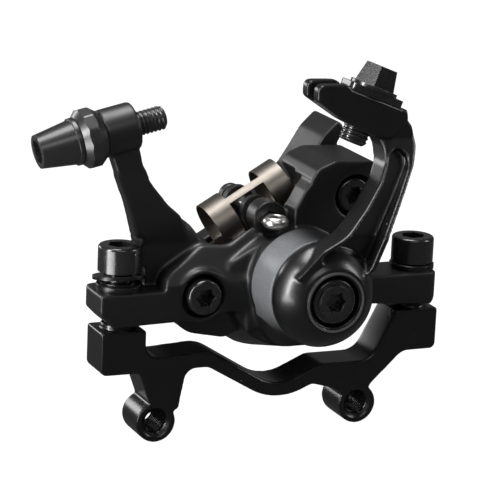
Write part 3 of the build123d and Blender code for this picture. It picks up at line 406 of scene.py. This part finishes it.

# painted highlight: a paler, rougher band on the hub housing, showing between the housing and the lever's cap
hubHighlight = {
    "x": 7.55 * mm, "z": 32.4 * mm, "inner": 11.2 * mm, "outer": 12.9 * mm,
    "right": -4 * mm, "front": -16 * mm, "back": -4.5 * mm,
    "dark": (0.05, 0.052, 0.055), "pale": (0.15, 0.155, 0.162), "roughness": 0.45,
}


def paintHubHighlight(material, band):
    tree = material.node_tree
    surface = next(node for node in tree.nodes if node.type == "BSDF_PRINCIPLED")
    highlight = useGroup(tree, hubHighlightBand, (-500, 700), {
        "Axis X": band["x"], "Axis Z": band["z"], "Inner": band["inner"], "Outer": band["outer"],
        "Right": band["right"], "Front": band["front"], "Back": band["back"],
    })
    # painted highlight: pale and dark grain colours mixed over the paint inside the band's mask
    tint = addMix(tree, "RGBA", (-200, 700), highlight["Grain"], opaque(band["dark"]), opaque(band["pale"]))
    for label, kind, value in (("Base Color", "RGBA", tint), ("Roughness", "FLOAT", band["roughness"])):
        socket = surface.inputs[label]
        painted = socket.links[0].from_socket
        feed(tree, socket, addMix(tree, kind, (150, 500), highlight["Mask"], painted, value))


# paints the hub highlight into the cast paint's colour and roughness
paintHubHighlight(castPaint, hubHighlight)
print("materials made")

nodeFinish = {
    "adapter_bracket": adapterPaint,
    "front_body": castPaint, "back_body": castPaint,
    "actuating_lever": leverPaint,
    "fixing_bolts": boltBlack, "body_bolts": boltBlack, "hub_screw": boltBlack,
    "cable_clamp_bolt": boltBlack, "cable_clamp_plate": boltBlack,
    "barrel_adjuster": knobBlack, "adjuster_nut": knobBlack, "pad_adjuster": knobBlack,
    "fixing_cup_washers": washerDark, "fixing_dished_washers": washerDark, "fixing_flat_washer": washerDark,
    "drive_cam": groundSteel, "ramp_balls": groundSteel, "ramp_plate": groundSteel,
    "push_piston": groundSteel, "thrust_washer": groundSteel, "adjuster_detent_ring": groundSteel,
    "hub_ring": ringSteel,
    "pad_spring": springNickel, "return_spring": springNickel,
    "pad_pin": pinSilver,
    "hub_bush": bushBronze,
    "dust_seal": sealRubber,
    "moving_pad_plate": padBacking, "fixed_pad_plate": padBacking,
    "moving_pad_lining": padLining, "fixed_pad_lining": padLining,
}


def nodeObject(node):
    found = bpy.data.objects.get(node)
    if found is None:
        raise RuntimeError("no object for node " + node)
    return found


def finishWith(piece, material):
    if not piece.material_slots:
        piece.data.materials.append(material)
    for slot in piece.material_slots:
        slot.material = material


for node, material in nodeFinish.items():
    finishWith(nodeObject(node), material)
print("node materials set")


def linkMesh(name, mesh, material, smooth=True):
    piece = bpy.data.objects.new(name, mesh)
    bpy.context.scene.collection.objects.link(piece)
    finishWith(piece, material)
    if smooth:
        for face in mesh.polygons:
            face.use_smooth = True
    return piece


# rounded pieces: the solid's own form with the round edges and blended corners of a casting or a forging
rounded = {
    "front_body": {
        "body": "caliper", "slot": "black_paint", "voxel": 0.28 * mm, "rounds": 8,
        "blends": [
            {"centre": (-9 * mm, -3 * mm, 38 * mm), "reach": 11 * mm},  # slab into the hub housing
            {"centre": (-7 * mm, -4 * mm, 21 * mm), "reach": 9 * mm},  # slab's lower edge beside the hub
            {"centre": (-27 * mm, -2 * mm, 52 * mm), "reach": 10 * mm},  # cable stop arm
            {"centre": (-19 * mm, 0, 42 * mm), "reach": 10 * mm},  # arm's root
        ],
    },
    "back_body": {"body": "caliper", "slot": "black_paint", "voxel": 0.34 * mm, "rounds": 9},
    "actuating_lever": {"body": "lever", "slot": "black_paint", "voxel": 0.24 * mm, "rounds": 30},
    "adapter_bracket": {
        "body": "caliper", "slot": "black_paint", "voxel": 0.26 * mm, "rounds": 10,
        "blends": [
            {"centre": (-22 * mm, 3 * mm, 6 * mm), "reach": 5 * mm},  # left lug's neck
            {"centre": (29 * mm, 3 * mm, 5 * mm), "reach": 4 * mm},  # right lug's neck
        ],
    },
    "pad_pin": {"body": "caliper", "slot": "silver_pin", "voxel": 0.12 * mm, "rounds": 40},
}
softening = {"factor": 0.5, "blendRounds": 60, "blendSteepness": 2.5}


def meshOf(piece):
    evaluated = piece.evaluated_get(bpy.context.evaluated_depsgraph_get())
    mesh = bpy.data.meshes.new_from_object(evaluated)
    bpy.data.objects.remove(piece, do_unlink=True)
    mesh.materials.clear()
    return mesh


def smoothBy(piece, rounds, group=""):
    smooth = piece.modifiers.new("soften", "SMOOTH")
    smooth.factor = softening["factor"]
    smooth.iterations = rounds
    smooth.vertex_group = group


def blendMesh(mesh, zones, material):
    piece = linkMesh("blend", mesh, material)
    group = piece.vertex_groups.new(name="blend")
    for vertex in mesh.vertices:
        near = max(1 - (vertex.co - Vector(zone["centre"])).length / zone["reach"] for zone in zones)
        if near > 0:
            group.add([vertex.index], min(1, near * softening["blendSteepness"]), "REPLACE")
    smoothBy(piece, softening["blendRounds"], "blend")
    return meshOf(piece)


def roundOff(node, settings):
    source = nodeObject(node)
    blank = bpy.data.objects.new(node + "Blank", source.data.copy())
    blank.matrix_world = source.matrix_world
    bpy.context.scene.collection.objects.link(blank)
    remesh = blank.modifiers.new("even", "REMESH")
    remesh.mode = "VOXEL"
    remesh.voxel_size = settings["voxel"]
    smoothBy(blank, settings["rounds"])
    mesh = meshOf(blank)
    if "blends" in settings:
        mesh = blendMesh(mesh, settings["blends"], nodeFinish[node])
    name = node.replace("_", " ").title().replace(" ", "")
    piece = linkMesh("rounded" + name, mesh, nodeFinish[node])
    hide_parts(node)
    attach(piece, settings["body"])
    print("rounded", node, len(mesh.polygons), "faces")


for node, settings in rounded.items():
    roundOff(node, settings)

# screw threads: a sharp ridge wound round a plain shank, or round the inside of a bore
threads = {
    "barrelThread": {
        "start": (-57.4 * mm, -6.2 * mm, 66.1 * mm), "heading": (0.97554, 0, 0.21985),
        "low": 22.7 * mm, "high": 29.6 * mm, "radius": 2.45 * mm, "crest": 0.28 * mm, "pitch": 0.95 * mm,
        "finish": knobBlack, "slot": "black_anodised", "body": "cable_barrel",
    },
    "clampThread": {
        "start": (22.0 * mm, -6.2 * mm, 75.2 * mm), "heading": (0.3665, 0, 0.93042),
        "low": -11.0 * mm, "high": -4.6 * mm, "radius": 2.95 * mm, "crest": 0.3 * mm, "pitch": 1.0 * mm,
        "finish": boltBlack, "slot": "black_bolt", "body": "lever",
    },
}
for name, x in (("leftTabThread", -25.5 * mm), ("rightTabThread", 25.5 * mm)):
    threads[name] = {
        "start": (x, 0, 0), "heading": (0, 1, 0),
        "low": 0.1 * mm, "high": 8.2 * mm, "radius": 2.55 * mm, "crest": -0.28 * mm, "pitch": 0.8 * mm,
        "finish": adapterPaint, "slot": "black_paint", "body": "caliper",
    }
threadShape = {"stepsPerTurn": 32, "runOutSteps": 8, "footShare": 0.42, "tipShare": 0.2}


def makeThread(name, thread):
    start = Vector(thread["start"])
    turn = Vector(thread["heading"]).normalized().to_track_quat("Z", "Y").to_matrix()
    perTurn = threadShape["stepsPerTurn"]
    runOut = threadShape["runOutSteps"]
    foot = thread["pitch"] * threadShape["footShare"]
    tip = foot * threadShape["tipShare"]
    profile = ((-foot, 0), (-tip, thread["crest"]), (tip, thread["crest"]), (foot, 0))
    steps = int((thread["high"] - thread["low"]) / thread["pitch"] * perTurn)
    shape = bmesh.new()
    rows = []
    for step in range(steps + 1):
        angle = 2 * math.pi * step / perTurn
        level = thread["low"] + thread["pitch"] * step / perTurn
        taper = min(1, step / runOut, (steps - step) / runOut)
        row = []
        for shift, rise in profile:
            reach = thread["radius"] + rise * taper
            point = turn @ Vector((reach * math.cos(angle), reach * math.sin(angle), level + shift))
            row.append(shape.verts.new(start + point))
        rows.append(row)
    for before, after in zip(rows, rows[1:]):
        for side in range(len(profile)):
            other = (side + 1) % len(profile)
            shape.faces.new((before[side], after[side], after[other], before[other]))
    shape.faces.new(rows[0])
    shape.faces.new(reversed(rows[-1]))
    bmesh.ops.recalc_face_normals(shape, faces=shape.faces)
    mesh = bpy.data.meshes.new(name)
    shape.to_mesh(mesh)
    shape.free()
    piece = linkMesh(name, mesh, thread["finish"], smooth=False)
    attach(piece, thread["body"])


for name, thread in threads.items():
    makeThread(name, thread)
print("threads wound")

# plain floor and room, white to the camera; mirror rays find the room dim, and dimmer in front than behind
studio = {
    "floorDrop": 0.4 * mm,
    "floorReach": 3.0,
    "floorColour": (0.8, 0.8, 0.8),
    "floorGlow": 1.1,
    "floorGlowShare": 0.9,
    "floorMirrored": 0.1,
    "roomSeen": 1.05,
    "roomLit": 0.1,
    "roomMirrored": {"Near": -0.2, "Far": 0.8, "Dark": 0.02, "Bright": 0.12},
}


def makeRoomGlow():
    group, start, end = newGroup("roomGlow", [
        ("Along", "NodeSocketFloat", 0.0), ("Near", "NodeSocketFloat", 0.0), ("Far", "NodeSocketFloat", 1.0),
        ("Dark", "NodeSocketFloat", 0.0), ("Bright", "NodeSocketFloat", 1.0),
    ], [("Level", "NodeSocketFloat")])
    fade = addNode(group, "ShaderNodeMapRange", (-300, 0), interpolation_type="SMOOTHSTEP")
    feedAll(group, fade, {
        "Value": start["Along"], "From Min": start["Near"], "From Max": start["Far"],
        "To Min": start["Dark"], "To Max": start["Bright"],
    })
    feed(group, end.inputs["Level"], fade.outputs["Result"])
    return group


roomGlow = makeRoomGlow()


def addGlow(tree, place, strength):
    node = addNode(tree, "ShaderNodeEmission", place)
    feed(tree, node.inputs["Strength"], strength)
    return node.outputs["Emission"]


def mixShaders(tree, place, share, first, second):
    node = addNode(tree, "ShaderNodeMixShader", place)
    for socket, value in zip(node.inputs, (share, first, second)):
        feed(tree, socket, value)
    return node.outputs["Shader"]


def whiteStage():
    material = bpy.data.materials.new("stageWhite")
    material.use_nodes = True
    tree = material.node_tree
    tree.nodes.clear()
    diffuse = addNode(tree, "ShaderNodeBsdfDiffuse", (0, 100))
    feed(tree, diffuse.inputs["Color"], opaque(studio["floorColour"]))
    rays = addNode(tree, "ShaderNodeLightPath", (-300, 300)).outputs
    share = addMath(tree, "MULTIPLY", (-100, 300), rays["Is Camera Ray"], studio["floorGlowShare"])
    glow = addGlow(tree, (0, -100), studio["floorGlow"])
    lit = mixShaders(tree, (300, 0), share, diffuse.outputs["BSDF"], glow)
    mirrored = addGlow(tree, (0, -250), studio["floorMirrored"])
    output = addNode(tree, "ShaderNodeOutputMaterial", (700, 0))
    feed(tree, output.inputs["Surface"], mixShaders(tree, (500, 0), rays["Is Glossy Ray"], lit, mirrored))
    return material


def makeFloor():
    low = cadBox[0][2] - studio["floorDrop"]
    reach = studio["floorReach"]
    shape = bmesh.new()
    corners = [shape.verts.new((x * reach, y * reach, low)) for x, y in ((-1, -1), (1, -1), (1, 1), (-1, 1))]
    shape.faces.new(corners)
    mesh = bpy.data.meshes.new("studioFloor")
    shape.to_mesh(mesh)
    shape.free()
    linkMesh("studioFloor", mesh, whiteStage(), smooth=False)


def makeWorld():
    world = bpy.data.worlds.new("studioWorld")
    bpy.context.scene.world = world
    world.use_nodes = True
    tree = world.node_tree
    tree.nodes.clear()
    rays = addNode(tree, "ShaderNodeLightPath", (-500, 0)).outputs
    heading = addNode(tree, "ShaderNodeTexCoord", (-900, -200)).outputs["Generated"]
    along = splitPlace(tree, heading)["Y"]
    room = useGroup(tree, roomGlow, (-500, -200), {"Along": along, **studio["roomMirrored"]})
    lit = addMix(tree, "FLOAT", (-200, -100), rays["Is Glossy Ray"], studio["roomLit"], room["Level"])
    seen = addMix(tree, "FLOAT", (100, 0), rays["Is Camera Ray"], lit, studio["roomSeen"])
    background = addNode(tree, "ShaderNodeBackground", (400, 0))
    feedAll(tree, background, {"Color": (1, 1, 1, 1), "Strength": seen})
    output = addNode(tree, "ShaderNodeOutputWorld", (600, 0))
    feed(tree, output.inputs["Surface"], background.outputs["Background"])


# soft lamps: a tall one at the left, a card that shines up at the floor's level, and weaker ones all round
lamps = {
    "leftLamp": {"place": (-0.6, -0.09, 0.25), "aim": (0, 0, 0.04), "size": (0.1, 0.6), "power": 6.0},
    "floorCard": {"place": (-0.28, -0.05, 0), "aim": (-0.28, -0.05, 1), "size": (0.3, 0.1), "power": 1.2},
    "backLamp": {"place": (-0.28, 0.52, 0.14), "aim": (0, 0, 0.035), "size": (0.3, 0.16), "power": 0.8},
    "topLamp": {"place": (-0.05, 0.05, 0.55), "aim": (0, 0, 0.04), "size": (0.35, 0.25), "power": 3.0},
    "rightLamp": {"place": (0.5, -0.25, 0.3), "aim": (0, 0, 0.035), "size": (0.1, 0.3), "power": 1.0},
    "frontLamp": {"place": (-0.15, -0.6, 0.5), "aim": (0, 0, 0.04), "size": (0.5, 0.2), "power": 1.0},
}


def areaLamp(name, lamp):
    data = bpy.data.lights.new(name, "AREA")
    data.shape = "RECTANGLE"
    data.size, data.size_y = lamp["size"]
    data.energy = lamp["power"]
    piece = bpy.data.objects.new(name, data)
    bpy.context.scene.collection.objects.link(piece)
    place = Vector(lamp["place"])
    turn = (Vector(lamp["aim"]) - place).to_track_quat("-Z", "Y")
    piece.matrix_world = Matrix.Translation(place) @ turn.to_matrix().to_4x4()


makeFloor()
makeWorld()
for name, lamp in lamps.items():
    areaLamp(name, lamp)
print("studio set")

bpy.context.scene.view_settings.view_transform = "Standard"
